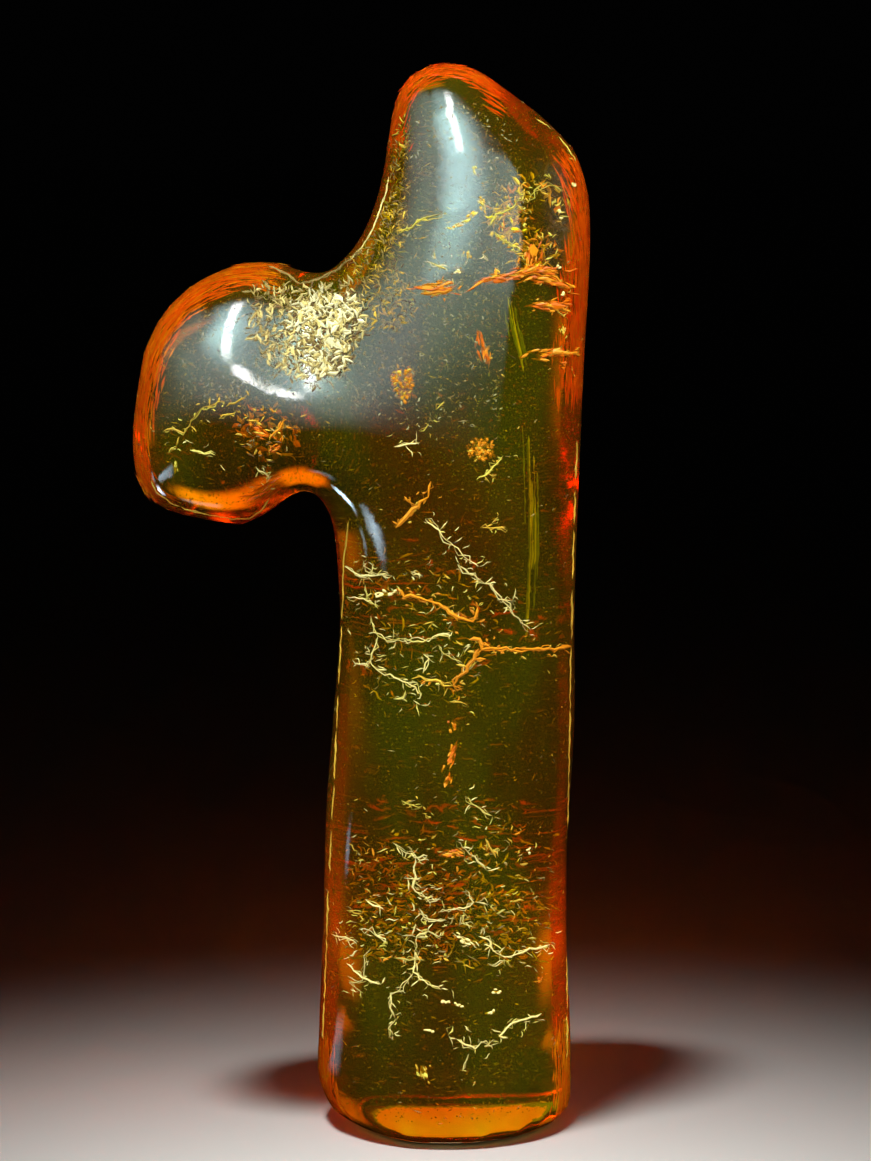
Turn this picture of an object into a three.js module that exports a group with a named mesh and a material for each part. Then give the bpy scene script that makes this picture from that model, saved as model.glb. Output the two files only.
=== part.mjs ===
// A polished piece of raw amber: a round column of fossil resin with a stub of a side branch, standing on a
// ground flat. It formed as one piece, so it is one closed solid.
// Units are millimetres. +Z is up, X runs along the width, and -Y is the face that carries the crusted pit.
// The origin is at the middle of the flat that the piece stands on.
import * as THREE from "three";

// Driving sizes
const BURIED_DEPTH = 8; // how far the column's outline runs on below the flat before the flat cuts it off
const EDGE_RADIUS = 5.6; // roundness of the column's section where it turns away from sight
const TIP_RADIUS = 3.9; // the same at the tip, which is slimmer
const TIP_START = 40; // height where the slimming towards the tip begins
const TIP_TOP = 50.5;
const DEPTH_SHARE = 0.9; // thickness of the section along Y as a share of its width along X
const BACK_FLATTENING = 1.06; // the back face is a little flatter than the front
const LOBE_FORWARD = 0.5; // the side branch leans this far towards -Y
const TIP_BACK = 0.6; // the tip leans this far towards +Y
const FLAT_ROUND_LEFT = 2.6; // rounding between the flat and the column's side under the branch
const FLAT_ROUND_RIGHT = 1.3; // the same on the far side
const FLAT_ROUND_FRONT = 0.8; // the same at the front and the back, where the flat runs out to its edge
const PIT = { x: -6.85, z: 38.3, radius: 3.3, share: 0.28 }; // crusted hollow between branch and column
const OUTLINE_STEPS = 220; // straight steps round the outline
const CELL = 0.86; // spacing of the grid that the surface is sampled on

// The outline as seen along +Y, as [x, z], clockwise from the bottom of the left side.
const COLUMN_LEFT = [
  [-6.75, -BURIED_DEPTH],
  [-6.72, -2.5],
  [-6.7, 3.8],
  [-6.45, 9.5],
  [-6.26, 15.5],
  [-5.78, 21.3],
  [-5.58, 24.4],
  [-5.7, 27.3],
];
const NOTCH_UNDER_BRANCH = [
  [-5.98, 29.4],
  [-6.6, 30.45],
  [-7.25, 30.8],
  [-7.9, 30.3],
];
const BRANCH = [
  [-8.6, 29.68],
  [-9.75, 29.0],
  [-11.6, 29.18],
  [-13.6, 29.7],
  [-14.8, 30.6],
  [-15.2, 32.6],
  [-14.95, 35.2],
  [-14.4, 37.6],
  [-13.1, 39.55],
  [-11.1, 40.85],
  [-9.1, 41.25],
  [-7.6, 40.98],
];
const SADDLE = [
  [-6.54, 40.5],
  [-5.6, 41.1],
  [-4.65, 42.15],
];
const TIP = [
  [-3.85, 43.9],
  [-3.35, 46.1],
  [-3.1, 48.0],
  [-2.5, 49.5],
  [-0.75, 50.45],
  [0.7, 50.15],
  [2.6, 48.9],
  [4.4, 47.45],
  [5.6, 46.0],
  [6.1, 44.2],
];
const COLUMN_RIGHT = [
  [6.17, 41.7],
  [5.95, 37.3],
  [5.73, 31.5],
  [5.55, 24.8],
  [5.58, 19.5],
  [5.3, 14.5],
  [5.27, 9.0],
  [5.48, 3.8],
  [5.5, -2.5],
  [5.5, -BURIED_DEPTH],
];

const outline = new THREE.CatmullRomCurve3(
  [COLUMN_LEFT, NOTCH_UNDER_BRANCH, BRANCH, SADDLE, TIP, COLUMN_RIGHT]
    .flat()
    .map(([x, z]) => new THREE.Vector3(x, 0, z)),
  true,
  "centripetal",
).getSpacedPoints(OUTLINE_STEPS);

const { smoothstep, lerp } = THREE.MathUtils;

// A smooth signed depth inside the outline, in millimetres: zero on it and positive within. It is 2 over the
// sum, all round the compass, of 1 over the distance to the outline, so it has no ridge down the middle.
function depthInside(x, z) {
  let sum = 0;
  for (let i = 0; i < OUTLINE_STEPS; i++) {
    const a = outline[i];
    const b = outline[i + 1];
    const length = Math.hypot(b.x - a.x, b.z - a.z);
    const alongX = (b.x - a.x) / length;
    const alongZ = (b.z - a.z) / length;
    const off = (x - a.x) * alongZ - (z - a.z) * alongX;
    if (Math.abs(off) < 1e-7) continue;
    const start = (a.x - x) * alongX + (a.z - z) * alongZ;
    const end = start + length;
    sum += (end / Math.hypot(off, end) - start / Math.hypot(off, start)) / off;
  }
  return 2 / sum;
}

// Where the middle of the section lies along Y.
function middle(x, z) {
  const lobe = LOBE_FORWARD * (1 - smoothstep(x, -13, -5));
  const tip = TIP_BACK * smoothstep(z, 36, TIP_TOP);
  return tip - lobe;
}

// The pit's share of the front's thickness, fading out from its centre.
function pitShare(x, z) {
  const far = Math.hypot(x - PIT.x, z - PIT.z) / PIT.radius;
  return PIT.share * Math.exp(-far * far);
}

// How widely the corner between the flat and the wall is rounded, at a place along the width.
function flatRounding(x) {
  const left = (FLAT_ROUND_LEFT - FLAT_ROUND_FRONT) * smoothstep(-x, 2, 5.5);
  const right = (FLAT_ROUND_RIGHT - FLAT_ROUND_FRONT) * smoothstep(x, 1.5, 4.5);
  return FLAT_ROUND_FRONT + left + right;
}

// The larger of two distances, with the corner between them rounded over the given width.
function roundedMax(a, b, width) {
  const near = Math.max(width - Math.abs(a - b), 0) / width;
  return Math.max(a, b) + (near * near * width) / 4;
}

// Signed distance to the amber's surface: negative inside. The depth inside the outline is already worked
// out for (x, z), because one column of the grid shares it.
function distanceAt(x, y, z, depth) {
  const radius = lerp(EDGE_RADIUS, TIP_RADIUS, smoothstep(z, TIP_START, TIP_TOP));
  const across = y - middle(x, z);
  const stretch = across < 0 ? 1 + pitShare(x, z) : BACK_FLATTENING;
  const thickness = (across * stretch) / DEPTH_SHARE;
  const body = Math.sqrt(Math.max(thickness * thickness - 2 * radius * depth + radius * radius, 0)) - radius;
  return roundedMax(body, -z, flatRounding(x));
}

function distance(point) {
  return distanceAt(point.x, point.y, point.z, depthInside(point.x, point.z));
}

// The surface as a closed mesh: one vertex in each grid cell that the surface crosses, and one four-sided
// face for each grid edge that it crosses.
function surfaceGeometry() {
  const low = new THREE.Vector3(-17, -7.3, -1.9);
  const count = [30, 18, 64];
  const index = (i, j, k) => (k * count[1] + j) * count[0] + i;
  const field = new Float64Array(count[0] * count[1] * count[2]);
  for (let k = 0; k < count[2]; k++)
    for (let i = 0; i < count[0]; i++) {
      const x = low.x + i * CELL;
      const z = low.z + k * CELL;
      const depth = depthInside(x, z);
      for (let j = 0; j < count[1]; j++)
        field[index(i, j, k)] = distanceAt(x, low.y + j * CELL, z, depth);
    }

  const vertices = [];
  const vertexOfCell = new Map();
  const corners = [0, 1, 2, 3, 4, 5, 6, 7].map((n) => [n & 1, (n >> 1) & 1, n >> 2]);
  const cellEdges = [];
  for (let a = 0; a < 8; a++) for (const bit of [1, 2, 4]) if (!(a & bit)) cellEdges.push([a, a | bit]);

  for (let k = 0; k < count[2] - 1; k++)
    for (let j = 0; j < count[1] - 1; j++)
      for (let i = 0; i < count[0] - 1; i++) {
        const value = corners.map(([x, y, z]) => field[index(i + x, j + y, k + z)]);
        const crossed = cellEdges.filter(([a, b]) => value[a] < 0 !== value[b] < 0);
        if (!crossed.length) continue;
        const vertex = new THREE.Vector3();
        for (const [a, b] of crossed) {
          const share = value[a] / (value[a] - value[b]);
          const from = new THREE.Vector3(...corners[a]);
          vertex.add(from.lerp(new THREE.Vector3(...corners[b]), share));
        }
        vertex.divideScalar(crossed.length).add(new THREE.Vector3(i, j, k));
        vertexOfCell.set(index(i, j, k), vertices.length);
        vertices.push(settled(vertex.multiplyScalar(CELL).add(low)));
      }

  const triangles = [];
  const steps = [
    [1, 0, 0],
    [0, 1, 0],
    [0, 0, 1],
  ];
  for (let k = 1; k < count[2] - 1; k++)
    for (let j = 1; j < count[1] - 1; j++)
      for (let i = 1; i < count[0] - 1; i++)
        for (let axis = 0; axis < 3; axis++) {
          const [dx, dy, dz] = steps[axis];
          const here = field[index(i, j, k)] < 0;
          if (here === field[index(i + dx, j + dy, k + dz)] < 0) continue;
          const [ux, uy, uz] = steps[(axis + 1) % 3];
          const [vx, vy, vz] = steps[(axis + 2) % 3];
          const loop = [
            [0, 0],
            [1, 0],
            [1, 1],
            [0, 1],
          ].map(([u, v]) =>
            vertexOfCell.get(index(i - u * ux - v * vx, j - u * uy - v * vy, k - u * uz - v * vz)),
          );
          addQuad(triangles, vertices, here ? loop : loop.reverse());
        }

  return new THREE.BufferGeometry().setFromPoints(vertices).setIndex(triangles);
}

// A point moved onto the surface along the steepest way.
function settled(point) {
  const nudge = 1e-3;
  for (let pass = 0; pass < 4; pass++) {
    const value = distance(point);
    const slope = new THREE.Vector3();
    for (const axis of ["x", "y", "z"]) {
      const beside = point.clone();
      beside[axis] += nudge;
      slope[axis] = (distance(beside) - value) / nudge;
    }
    point.addScaledVector(slope, -value / slope.lengthSq());
  }
  return point;
}

// Two triangles for a four-sided face, split along its shorter diagonal.
function addQuad(triangles, vertices, [a, b, c, d]) {
  if (vertices[a].distanceTo(vertices[c]) <= vertices[b].distanceTo(vertices[d]))
    triangles.push(a, b, c, a, c, d);
  else triangles.push(a, b, d, b, c, d);
}

const polishedAmber = new THREE.MeshStandardMaterial({ color: 0xb8681a, roughness: 0.08, metalness: 0 });

const amber = new THREE.Mesh(surfaceGeometry(), polishedAmber);
amber.name = "amber";

const part = new THREE.Group();
part.add(amber);

export default part;
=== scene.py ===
"""Looks of a polished amber piece: a see-through column with a stub branch, and what is sealed in it.

The body is a finer copy of the solid. Cracks, flakes, crust and dust are small closed shapes set into it,
and so are painted glints, edge highlights, a green streak and an orange rim glow that stand in for light,
along the lines of sight where the photograph shows them, and by chance on the sides that it doesn't show.
Lengths are in metres, and MM turns millimetres into them. Places that are read off the photograph are
pixels of its 871 by 1161 frame.
"""

import math
import random
from dataclasses import dataclass, replace

import bpy
from mathutils import Matrix, Quaternion, Vector, noise
from mathutils.bvhtree import BVHTree


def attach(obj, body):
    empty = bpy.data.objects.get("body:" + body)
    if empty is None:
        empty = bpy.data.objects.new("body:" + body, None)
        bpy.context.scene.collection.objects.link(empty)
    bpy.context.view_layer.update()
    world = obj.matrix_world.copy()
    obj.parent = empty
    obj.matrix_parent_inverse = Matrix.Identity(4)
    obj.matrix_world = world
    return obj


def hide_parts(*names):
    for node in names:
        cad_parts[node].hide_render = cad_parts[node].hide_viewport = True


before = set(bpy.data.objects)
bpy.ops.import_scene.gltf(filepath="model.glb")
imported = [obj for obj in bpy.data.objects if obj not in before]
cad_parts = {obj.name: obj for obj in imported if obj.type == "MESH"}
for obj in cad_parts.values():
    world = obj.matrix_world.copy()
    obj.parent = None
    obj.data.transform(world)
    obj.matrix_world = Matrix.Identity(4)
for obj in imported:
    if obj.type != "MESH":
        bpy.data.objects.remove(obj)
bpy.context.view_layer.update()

MM = 0.001

# The camera: a close view, a little from above
PHOTO_WIDTH, PHOTO_HEIGHT = 871, 1161
LENS = 100.0
SENSOR = 36.0
PITCH = math.radians(9)
CAMERA_DISTANCE = 152 * MM
CAMERA_AIM = Vector((-1.04, 0, 26.24)) * MM
NEAREST_SEEN = 10 * MM

# The amber
AMBER_IOR = 1.54
ABSORBED_COLOUR = (0.983, 0.729, 0.0)
ABSORPTION_DENSITY = 700.0
CLEARNESS = 0.981
DARK_FLOW = (0.88, 0.44, 0.01)
LIGHT_FLOW = (0.97, 0.88, 0.02)
FLAT_HEIGHT = 0.2 * MM
FLAT_DARK = (0.85, 0.60, 0.25)
FLAT_LIGHT = (1.0, 0.85, 0.50)
MERGE_DISTANCE = 0.002 * MM
QUAD_ANGLE = math.radians(60)
FACES_DOWN = -0.5

# Patterns in the finishes, as noise scales per metre and heights of relief
CLOUD_SCALE = 260.0
CLOUD_STRETCH = (1.0, 1.0, 0.35)
CLOUD_EDGES = (0.36, 0.64)
GRAIN_SCALE = 2600.0
WAVE_SCALE = 300.0
FLAT_SCALE = 1500.0
MOTTLE_SCALE = 4000.0
MOTTLE = (0.55, 0.42, 0.30)
MOTTLE_SHARE = 0.6
POLISH_ROUGHNESS, GRAIN_ROUGHNESS = 0.03, 0.08
POLISH_RELIEF = 0.012 * MM
FLAT_RELIEF = 0.03 * MM

# Tints of what is sealed in the amber
YELLOW = (1.0, 0.80, 0.0)
GOLD = (0.90, 0.58, 0.06)
ORANGE = (1.0, 0.33, 0.0)
# Reds of the painted rim glow, which stands in for light refracted at the edges
RIM_GLOW_RED = (1.0, 0.14, 0.0)
RIM_GLOW_DEEP_RED = (1.0, 0.05, 0.0)
TAN = (0.36, 0.22, 0.04)
BROWN = (0.10, 0.05, 0.01)
OLIVE = (0.40, 0.36, 0.02)
MOSS = (0.20, 0.25, 0.0)
LIME = (0.80, 0.76, 0.0)

# Tints of what stands in the surface, where the light is stronger
CREAM = (0.82, 0.62, 0.22)
PALE_YELLOW = (0.70, 0.53, 0.11)
STRAW = (0.28, 0.18, 0.05)
BARK = (0.13, 0.07, 0.025)
CHALK = (0.76, 0.63, 0.34)
MAIZE = (0.56, 0.41, 0.14)
PEARL = (0.34, 0.29, 0.14)
LEMON = (0.60, 0.46, 0.06)
HONEY = (0.60, 0.34, 0.03)
FLAME = (0.62, 0.20, 0.005)
EMBER = (0.50, 0.09, 0.0)

# Colours of the light
WHITE = (1.0, 0.98, 0.95)
PALE_GREEN = (0.70, 1.0, 1.0)
ICE = (0.58, 0.95, 1.0)
SKY = (0.62, 0.84, 1.0)
PALE_LIME = (0.22, 1.0, 0.15)
DIM_ROOM = (0.0005, 0.0005, 0.0005)

# How lamps fade, over shares of their width and height: left, right, low, high
HARD = (0, 0, 0, 0)
FIRM = (0.15, 0.15, 0.15, 0.15)
SOFT = (0.3, 0.3, 0.3, 0.3)
SOFTEST = (0.5, 0.5, 0.5, 0.5)
GLOW_FADE = (0.3, 0.3, 0.2, 0.4)

# Lamps that aren't seen in the polish, and lamps that aren't seen through the amber
UNMIRRORED = {"visible_glossy": False}
MIRROR_ONLY = {"visible_transmission": False}

# Where lamps aim, in millimetres: the upper column, the branch, and the notch under it
HEAD = (-3, 0, 38)
LOBE = (-9.5, -4, 36.5)
NOTCH = (-5, -2, 29)

# The floor, a little under the amber
FLOOR_PALE = (0.80, 0.79, 0.76)
FLOOR_SIZE = 3.0
FLOOR_HEIGHT = -0.05 * MM

# Cream cracks in the surface, as lines of photo pixels
CREAM_CRACKS = [
    [(363, 560), (366, 571), (376, 576), (393, 575)],
    [(365, 584), (367, 596), (371, 603), (380, 607)],
    [(371, 615), (373, 626), (378, 636), (388, 640), (403, 640), (423, 641), (444, 635), (450, 640)],
    [
        (378, 636), (375, 646), (370, 658), (371, 665), (380, 673),
        (390, 675), (403, 681), (415, 688), (422, 695),
    ],
    [(342, 565), (361, 576), (376, 576)],
    [(345, 596), (364, 599), (371, 603)],
    [(352, 659), (359, 665), (370, 665)],
    [(425, 519), (439, 531), (446, 540), (461, 552), (479, 567)],
    [(457, 564), (473, 576), (489, 585), (497, 593), (507, 606), (517, 620), (531, 631)],
    [(497, 600), (512, 601)],
    [(438, 644), (444, 653), (453, 659), (463, 664)],
    [(423, 654), (429, 659), (422, 673)],
    [(393, 699), (403, 697), (408, 692)],
    [(413, 700), (420, 706)],
    [(410, 571), (423, 576)],
    [(465, 796), (475, 807), (492, 817)],
    [(456, 841), (466, 850), (478, 862), (487, 870)],
    [(392, 842), (406, 852), (415, 857), (428, 856)],
    [(415, 857), (414, 877), (412, 887), (421, 895), (431, 899), (442, 899)],
    [(403, 878), (422, 879)],
    [(419, 908), (424, 917), (435, 921), (446, 919)],
    [(465, 889), (474, 902), (464, 909), (449, 910), (437, 912)],
    [(474, 902), (489, 905)],
    [(464, 911), (464, 924), (476, 927)],
    [(428, 931), (417, 937), (415, 951), (414, 961), (414, 972), (424, 981), (442, 990)],
    [(394, 958), (414, 959), (426, 961)],
    [(401, 936), (417, 937), (428, 931), (442, 938)],
    [(414, 972), (403, 983), (401, 990), (390, 993), (392, 997), (390, 1008), (396, 1018)],
    [(396, 1018), (389, 1029), (392, 1036)],
    [(372, 947), (364, 956), (365, 969), (364, 981), (349, 983), (357, 988), (364, 994)],
    [(346, 963), (362, 978), (381, 985)],
    [(360, 928), (371, 931), (380, 938), (387, 944)],
    [(330, 933), (346, 937), (358, 944)],
    [(365, 899), (374, 904), (385, 907)],
    [(458, 935), (472, 944)],
    [(478, 936), (489, 938), (494, 951), (505, 957), (517, 954), (530, 949), (551, 945)],
    [(490, 965), (505, 960)],
    [(542, 1013), (526, 1019), (512, 1022), (506, 1028), (499, 1036), (508, 1038)],
    [(499, 1043), (489, 1045), (481, 1042), (476, 1049), (465, 1044), (456, 1039)],
    [(469, 1053), (464, 1064), (462, 1071)],
    [(453, 1026), (449, 1035)],
    [(393, 447), (405, 444), (420, 443)],
    [(189, 450), (216, 455)],
    [(255, 466), (269, 475), (266, 483)],
    [(423, 262), (449, 269)],
    [(482, 253), (489, 262)],
]

# Gold cracks
GOLD_CRACKS = [
    [(398, 234), (411, 227), (423, 219), (432, 216), (444, 216)],
    [(162, 432), (173, 429), (184, 433), (191, 421), (201, 409), (223, 402)],
    [(226, 407), (246, 396)],
    [(219, 419), (237, 412)],
    [(168, 454), (176, 445)],
    [(476, 480), (488, 473), (496, 463), (504, 456)],
    [(480, 528), (496, 528), (507, 530)],
    [(491, 524), (498, 516)],
    [(418, 431), (429, 423)],
    [(436, 410), (445, 401)],
    [(401, 800), (413, 807), (423, 805)],
    [(425, 814), (430, 819)],
    [(346, 910), (364, 913)],
    [(485, 838), (497, 858)],
    [(478, 606), (481, 601)],
    [(449, 702), (461, 701), (468, 707)],
    [(490, 226), (497, 215), (513, 208), (516, 201), (528, 201), (535, 191), (549, 184), (564, 193)],
    [(494, 231), (502, 239), (516, 248), (521, 250)],
]

# Orange fractures
ORANGE_CRACKS = [
    [
        (396, 588), (405, 596), (416, 597), (431, 601), (443, 606),
        (449, 613), (459, 616), (473, 621), (478, 606),
    ],
    [(468, 640), (479, 641), (483, 649), (496, 649), (511, 649), (527, 649), (554, 649), (572, 646)],
    [(479, 648), (474, 659), (466, 671), (458, 678), (453, 686), (463, 691)],
    [(474, 659), (486, 661)],
    [(453, 686), (436, 681), (426, 681), (416, 676)],
    [(431, 481), (426, 496), (418, 506), (406, 518), (395, 528)],
    [(418, 506), (403, 499)],
    [(246, 420), (260, 421)],
    [(253, 432), (266, 434)],
    [(269, 441), (287, 418)],
    [(416, 286), (444, 282)],
    [(420, 294), (453, 291)],
    [(482, 281), (504, 275), (521, 272), (542, 275), (556, 279), (564, 289)],
    [(532, 303), (559, 308), (571, 310)],
    [(540, 350), (562, 354), (580, 352)],
]

# A painted glint: the yellow crack along the tip's right shoulder stands in for a yellow glint there
PAINTED_YELLOW_GLINT = [(536, 119), (548, 126), (558, 136), (567, 147), (574, 158), (580, 172)]

# The crust in the hollow between branch and column, as the outline of its patch, and its thickest part
CRUST = [
    (250, 290), (270, 283), (300, 290), (330, 283), (350, 280), (365, 300), (364, 335),
    (355, 358), (345, 375), (325, 385), (300, 385), (275, 372), (262, 350), (250, 330),
]
CRUST_HEART = [(290, 300), (325, 290), (355, 300), (360, 335), (345, 368), (318, 380), (292, 350)]
SADDLE_RIDGE = [(268, 266), (285, 273), (300, 284), (318, 279), (335, 271), (350, 260), (362, 248)]
# A painted highlight: a cream line along the neck's outline, in place of the pale reflection there
PAINTED_NECK_HIGHLIGHT = [(350, 260), (362, 247), (371, 232), (379, 214), (385, 196), (389, 176)]

# Brown flakes up the column's edge above the crust, and the ring of gold flakes near the tip
EDGE_FLAKES = [
    (345, 262), (372, 235), (385, 200), (402, 190), (405, 230), (398, 265), (420, 300),
    (400, 330), (375, 330), (365, 295), (350, 280),
]
TIP_FLAKES = [(392, 175), (393, 140), (402, 115), (410, 130), (408, 190), (400, 240), (385, 240)]
FLAKE_RING = [
    (488, 215), (495, 200), (512, 190), (530, 178), (552, 178), (568, 192), (566, 215),
    (562, 240), (552, 264), (535, 274), (515, 264), (498, 246),
]
RING_HOLE = [(530, 200), (548, 192), (560, 206), (558, 232), (542, 238), (530, 222)]

# Bands of finer cracks: the torn zone low in the column and the crazed zone under the branch, and a painted
# green streak up the column's right side, strands that stand in for light refracted there
TORN_ZONE = [(345, 835), (555, 820), (552, 960), (480, 968), (340, 960)]
PAINTED_GREEN_STREAK = [
    [(509, 296), (514, 325), (520, 352), (525, 378)],
    [(531, 425), (533, 480), (534, 540), (532, 600), (528, 650)],
]
CRAZED_ZONE = [(345, 552), (420, 545), (500, 600), (500, 660), (465, 705), (350, 700)]

# Single flakes, some of them painted glints, as (place, length, width, angle in degrees)
ORANGE_PLATES = [
    ((436, 288), 46, 10, 4),
    ((500, 279), 62, 7, 10),
    ((538, 271), 46, 13, 0),
    ((550, 283), 44, 10, -8),
    ((549, 305), 40, 13, -4),
    ((550, 353), 38, 9, 5),
    ((562, 364), 15, 8, -20),
    ((531, 256), 26, 20, 80),
    ((484, 350), 34, 9, 100),
    ((454, 853), 24, 11, 8),
    ((454, 726), 13, 10, 90),
    ((452, 755), 32, 9, 70),
    ((447, 781), 15, 9, 70),
    ((262, 432), 26, 9, -30),
    ((276, 448), 18, 9, 40),
    ((540, 979), 13, 13, 0),
]
GOLD_PLATES_AND_GLINTS = [
    ((459, 225), 16, 6, 20),
    ((472, 216), 18, 6, 35),
    ((483, 205), 16, 8, -60),
    ((474, 170), 12, 5, -60),
    ((468, 255), 11, 8, 80),
    # Painted glints: these three bright yellow flakes stand in for yellow glints
    ((563, 330), 16, 7, 95),
    ((424, 1071), 18, 11, -60),
    ((175, 468), 14, 5, 80),
]
CREAM_PLATES_AND_GLINTS = [
    ((384, 594), 18, 7, 5),
    ((465, 940), 16, 8, -20),
    ((427, 1030), 13, 5, 0),
    ((490, 1013), 13, 4, 5),
    ((447, 1002), 11, 4, -10),
    ((458, 1005), 9, 4, 0),
    ((496, 992), 10, 4, -5),
    # Painted glints: these five small flakes stand in for glints on the column's upper right
    ((559, 210), 5, 4, 0),
    ((561, 219), 4, 4, 0),
    ((573, 185), 5, 4, 0),
    ((558, 267), 6, 5, 0),
    ((564, 294), 6, 5, 0),
    ((459, 272), 6, 5, 0),
    ((528, 851), 5, 5, 0),
]

# Brown clusters: in the middle of the branch, and behind the thick of the torn zone
BRANCH_CLUSTER = [(238, 412), (275, 405), (300, 425), (290, 455), (262, 470), (245, 450)]
TORN_HEART = [(345, 870), (420, 860), (540, 900), (545, 950), (480, 965), (345, 955)]

# Pale flecks over the tip, the neck and the branch, where the windows' reflection lies: partly painted
# sheen
PALE_FLECKS_AND_SHEEN = [
    (415, 120), (450, 100), (490, 105), (520, 135), (528, 190), (505, 250),
    (500, 420), (440, 440), (330, 400), (260, 410), (180, 400), (175, 350),
    (200, 310), (235, 290), (270, 380), (340, 390), (375, 330), (405, 260),
]

# Oval clots, as (place, width, height)
CLOTS = [((404, 383), 28, 38), ((481, 450), 28, 22)]

# Painted highlights: fine golden dashes along the column's edges and under the branch, for their bright
# edge
EDGE_HIGHLIGHT_LINES = [
    [(349, 520), (344, 560), (341, 640), (337, 720), (333, 800), (329, 880), (326, 960), (323, 1040)],
    [
        (151, 480), (157, 493), (171, 503), (190, 510), (210, 515),
        (232, 519), (249, 518), (260, 511), (270, 498),
    ],
    [(577, 440), (574, 520), (572, 600), (570, 700), (568, 800), (567, 900), (567, 1000), (567, 1060)],
]

# Painted rim glow: orange scales under the skin of the narrow edges that stand in for light refracted
# there, as boxes in millimetres that they lie within, the most that the skin may face front or back, and
# their tints
PAINTED_RIM_GLOW = [
    ((-5, -6, 46.5), (1.9, 6, 52), 0.74, (RIM_GLOW_DEEP_RED, RIM_GLOW_DEEP_RED, RIM_GLOW_RED)),
    ((4.0, -4, 35.0), (8, 4, 46.0), 0.74, (RIM_GLOW_RED, RIM_GLOW_RED, RIM_GLOW_DEEP_RED)),
    ((-17, -4, 30.5), (-8.4, 4, 42), 0.74, (ORANGE, RIM_GLOW_RED, RIM_GLOW_RED)),
    ((-8, -4, 0.9), (-4.7, 4, 4.2), 0.62, (RIM_GLOW_RED, RIM_GLOW_RED, ORANGE)),
    ((3.7, -4, 0.9), (7, 4, 5.0), 0.62, (RIM_GLOW_RED, RIM_GLOW_RED, ORANGE)),
]

# Seeds of the chances that each piece draws on
CRACK_SEED, CRUST_SEED, FLAKE_SEED, RIM_GLOW_SEED = 7, 21, 22, 23
DUST_SEED, HAZE_SEED = 43, 65

# Depth of what stands in the surface
IN_SKIN = 0.0

# How cracks run: steps and strays in pixels, chances of thorns and bits, and shares of a crack's width
CRACK_STEP = 5.0
STRAND_STRAY, FINE_STRAY, EDGE_STRAY = 0.9, 2.2, 0.35
RIDGE_STRAY, NECK_HIGHLIGHT_STRAY, STREAK_STRAY = 0.8, 0.4, 0.3
THORN_CHANCE, BIT_CHANCE = 0.36, 0.75
THORN_SHARE, FINE_SHARE, STROKE_DEEP_SHARE = 0.75, 0.6, 0.8
WIDTH_DRIFT = (0.2, 1.3)
THORN_TURNS, THORN_REACHES, THORN_BEND = (20, 80), (0.3, 1.0), 0.25
BIT_REACHES, BIT_LEVEL = (0.3, 0.7), 0.5
STROKE_BEND = 0.6

# How far each shape may be darker than its tint
PLAIN_SHADE, CRACK_SHADE, DUST_SHADE, HAZE_SHADE, RIM_GLOW_SHADE = 0.18, 0.45, 0.6, 0.7, 0.15

# How uneven a flake's rim is, and how far a flake tilts
RIM_REACHES = (0.6, 1.2)
FLAKE_TILT = 0.35

# Sets of cracks, as lines, width and reach of the side shoots in pixels, and tints
CRACK_SETS = [
    (CREAM_CRACKS, 1.7, 15, (CREAM, CREAM, PALE_YELLOW)),
    (GOLD_CRACKS, 2.2, 10, (HONEY, LEMON)),
    (ORANGE_CRACKS, 3.4, 12, (FLAME, FLAME, HONEY)),
]

# Dashes along an edge, as steps of its line, and the sizes of dashes, ridges and the painted streak's
# strands
DASH_STEPS, GAP_STEPS = (4, 12), (0, 3)
DASH_WIDTH, DASH_DEEP = 0.1 * MM, 0.06 * MM
RIDGE_WIDTH = 0.09 * MM
NECK_HIGHLIGHT_WIDTH, NECK_HIGHLIGHT_DEEP = 0.08 * MM, 0.06 * MM
STREAK_STRANDS, STREAK_SPREAD, STREAK_DEPTHS = 12, 4, (0.1, 0.5)
STREAK_WIDTH, STREAK_DEEP = 0.09 * MM, 0.05 * MM

# Plates, with the depth of their slivers and their tints, and the sheet under the slivers
PLATES = [
    (ORANGE_PLATES, 0.02 * MM, (FLAME, EMBER, EMBER)),
    (GOLD_PLATES_AND_GLINTS, 0.02 * MM, (LEMON, HONEY)),
    (CREAM_PLATES_AND_GLINTS, IN_SKIN, (CREAM,)),
]
FEWEST_SLIVERS, SLIVER_AREA = 4, 16
SHORTEST_SLIVER, SLIVER_WIDTHS = 4, (1.6, 3.6)
SLIVER_DEPTHS, SLIVER_LENGTHS, SLIVER_TURN = (0.7, 1.3), (0.2, 0.6), 12
SHEET_DROP = 0.06 * MM
SHEET_LENGTH_SHARE, SHEET_WIDTH_SHARE = 0.85, 0.6
THICKEST_FLAKE = 0.12 * MM

# Clots: how many strokes each has, how much of its oval they fill, and their sizes and tints
CLOT_STROKES = 170
CLOT_FILL = 0.42
CLOT_DEPTHS, CLOT_LENGTHS = (0.0, 0.1), (3, 7)
CLOT_STROKE_WIDTH = 0.16 * MM
CLOT_TINTS = (HONEY, FLAME, FLAME)

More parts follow.
